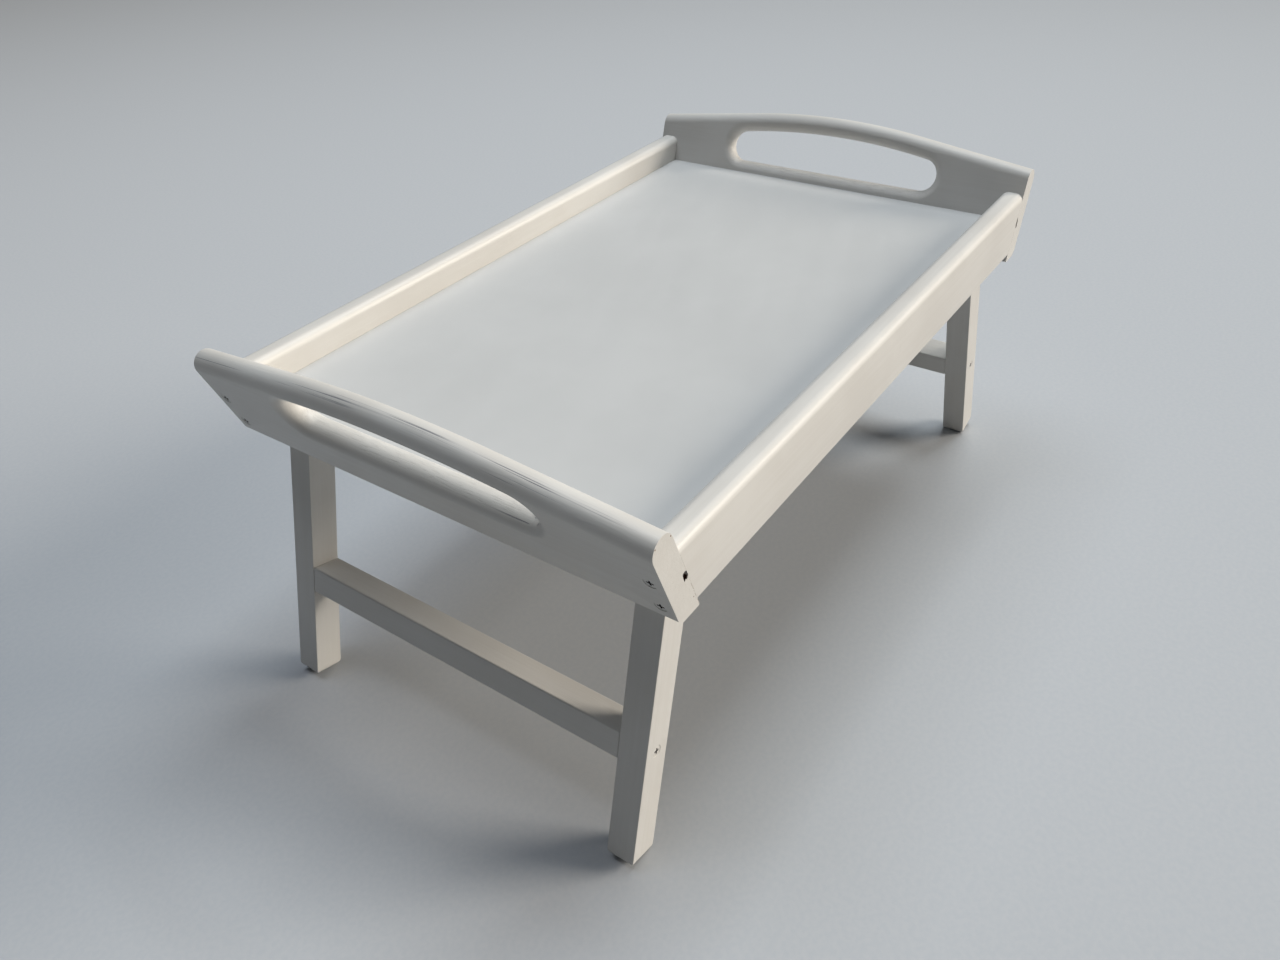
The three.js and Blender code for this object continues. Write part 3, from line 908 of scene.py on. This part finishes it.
def metal(name, colour, dark, rough_low, rough_high):
    """Dull plated steel with a faint grain and darker stains."""
    g = Graph(name)
    stain = g.ramp(g.noise(g.place, 420, detail=4), 0.35, 0.7)
    grain = g.noise(g.place, 3200, detail=2)
    g.set(g.shader.inputs["Base Color"], g.mix(stain, colour, dark))
    g.set(g.shader.inputs["Roughness"], g.ramp(grain, 0.3, 0.7, rough_low, rough_high))
    bump = g.add("Bump", {"Strength": 0.3, "Distance": 0.03 * MM, "Height": grain})
    g.set(g.shader.inputs["Normal"], bump.outputs["Normal"])
    g.shader.inputs["Metallic"].default_value = 1.0
    return g.material


def board_point(across, slope, depth):
    """A point of the left end board in the row frame."""
    return BOARD_FRAME @ Vector((across * MM, slope * MM, depth * MM))


# Where the paint is chipped: three spots on the end grain and one at the end of the slot's lip.
board_chips = [
    (board_point(-181.0, 64.6, 4.6), 0.55 * MM),
    (board_point(-181.0, 59.5, 17.0), 0.5 * MM),
    (board_point(-181.0, 1.5, 16.0), 0.5 * MM),
    (board_point(84.0, 37.5, 7.0), 0.8 * MM),
]
board_chips += [(RIGHT @ place, radius) for place, radius in board_chips]

board_paint = paint("board_paint", ALONG_Y, board_details)
rail_paint = paint("rail_paint", ALONG_X)
panel_paint = smooth_paint("panel_paint")
leg_paints = {
    "left": paint("leg_paint_left", (0, math.pi / 2 + SPLAY, 0)),
    "right": paint("leg_paint_right", (0, math.pi / 2 - SPLAY, 0)),
}
stretcher_paints = {end: paint(f"stretcher_paint_{end}", ALONG_Y) for end in ENDS}
screw_paint = paint("screw_paint", ALONG_X, grain_depth=0.2)
# Near-black steel for the cross recesses: bare steel, darkened as painted shade of the deep recess.
recess_steel_and_shade = metal("recess_steel_and_shade", srgb(40, 34, 30), srgb(24, 20, 18), 0.5, 0.8)
zinc = metal("zinc", srgb(168, 164, 156), srgb(122, 116, 106), 0.32, 0.5)

# ---------------------------------------------------------------- the table

for end in ENDS:
    make_end_board(end)
    make_stretcher(end)
    for side in (-1, 1):
        make_leg(end, side)
    make_fasteners(end)
make_rail("front", LEFT)
make_rail("back", RIGHT)
make_panel()

# ---------------------------------------------------------------- camera

CAMERA_PLACE = Vector((-564.6, -390.4, 573.1)) * MM
CAMERA_AZIMUTH = math.radians(-52.71)
CAMERA_ELEVATION = math.radians(36.80)
CAMERA_ROLL = math.radians(-3.84)
FOCAL_LENGTH = 27.69  # on a sensor 36 mm wide


def add_camera():
    """The camera looks along its azimuth and down by its elevation, with a slight roll."""
    a, e, r = CAMERA_AZIMUTH, CAMERA_ELEVATION, CAMERA_ROLL
    look = Vector((-math.sin(a) * math.cos(e), math.cos(a) * math.cos(e), -math.sin(e)))
    level = Vector((math.cos(a), math.sin(a), 0))
    upright = level.cross(look)
    right = math.cos(r) * level + math.sin(r) * upright
    up = math.cos(r) * upright - math.sin(r) * level
    data = bpy.data.cameras.new("camera")
    data.sensor_width = 36
    data.lens = FOCAL_LENGTH
    camera = bpy.data.objects.new("camera", data)
    turn = Matrix((right, up, -look)).transposed().to_4x4()
    camera.matrix_world = Matrix.Translation(CAMERA_PLACE) @ turn
    bpy.context.scene.collection.objects.link(camera)
    bpy.context.scene.camera = camera


add_camera()

# ---------------------------------------------------------------- floor and light


def add_floor():
    """A plain pale matt floor."""
    bm = bmesh.new()
    bmesh.ops.create_grid(bm, x_segments=8, y_segments=8, size=20)
    floor = mesh_object("floor", bm)
    g = Graph("floor")
    speckle = g.ramp(g.noise(g.place, 260, detail=3), 0.3, 0.7)
    g.set(g.shader.inputs["Base Color"], g.mix(speckle, srgb(180, 184, 189), srgb(184, 187, 191)))
    g.shader.inputs["Roughness"].default_value = 0.8
    g.shader.inputs["Specular IOR Level"].default_value = 0.25
    floor.data.materials.append(g.material)


def add_area_light(name, direction, distance, size, power, colour):
    """A square soft light, shining at the middle of the table."""
    target = Vector((0, 0, DATUM))
    data = bpy.data.lights.new(name, "AREA")
    data.shape = "SQUARE"
    data.size = size
    data.energy = power
    data.color = colour
    light = bpy.data.objects.new(name, data)
    light.location = target + Vector(direction).normalized() * distance
    light.rotation_euler = (target - light.location).to_track_quat("-Z", "Y").to_euler()
    bpy.context.scene.collection.objects.link(light)


def add_distant_light(name, direction, spread, strength, colour):
    """A soft light from far away, as even at the edges of the floor as in the middle."""
    data = bpy.data.lights.new(name, "SUN")
    data.angle = math.radians(spread)
    data.energy = strength
    data.color = colour
    light = bpy.data.objects.new(name, data)
    light.rotation_euler = (-Vector(direction)).to_track_quat("-Z", "Y").to_euler()
    bpy.context.scene.collection.objects.link(light)


def add_world():
    """A dim sky, so that the light comes from the lamps."""
    world = bpy.data.worlds.new("world")
    world.use_nodes = True
    background = world.node_tree.nodes["Background"]
    background.inputs["Color"].default_value = (0.80, 0.90, 1.0, 1)
    background.inputs["Strength"].default_value = 0.03
    bpy.context.scene.world = world


add_floor()
add_world()
add_distant_light("key", (0.60, -0.72, 0.36), 26, 3.1, (1.0, 0.92, 0.81))
add_distant_light("front", (0.05, -1.0, 0.07), 20, 0.45, (1.0, 0.93, 0.82))
add_area_light("top", (0.36, -0.05, 0.93), 4.0, 1.8, 94, (0.93, 0.98, 1.0))
add_area_light("back", (-0.06, 0.28, 0.95), 4.0, 1.8, 47, (0.86, 0.92, 1.0))
bpy.context.scene.view_settings.view_transform = "Standard"
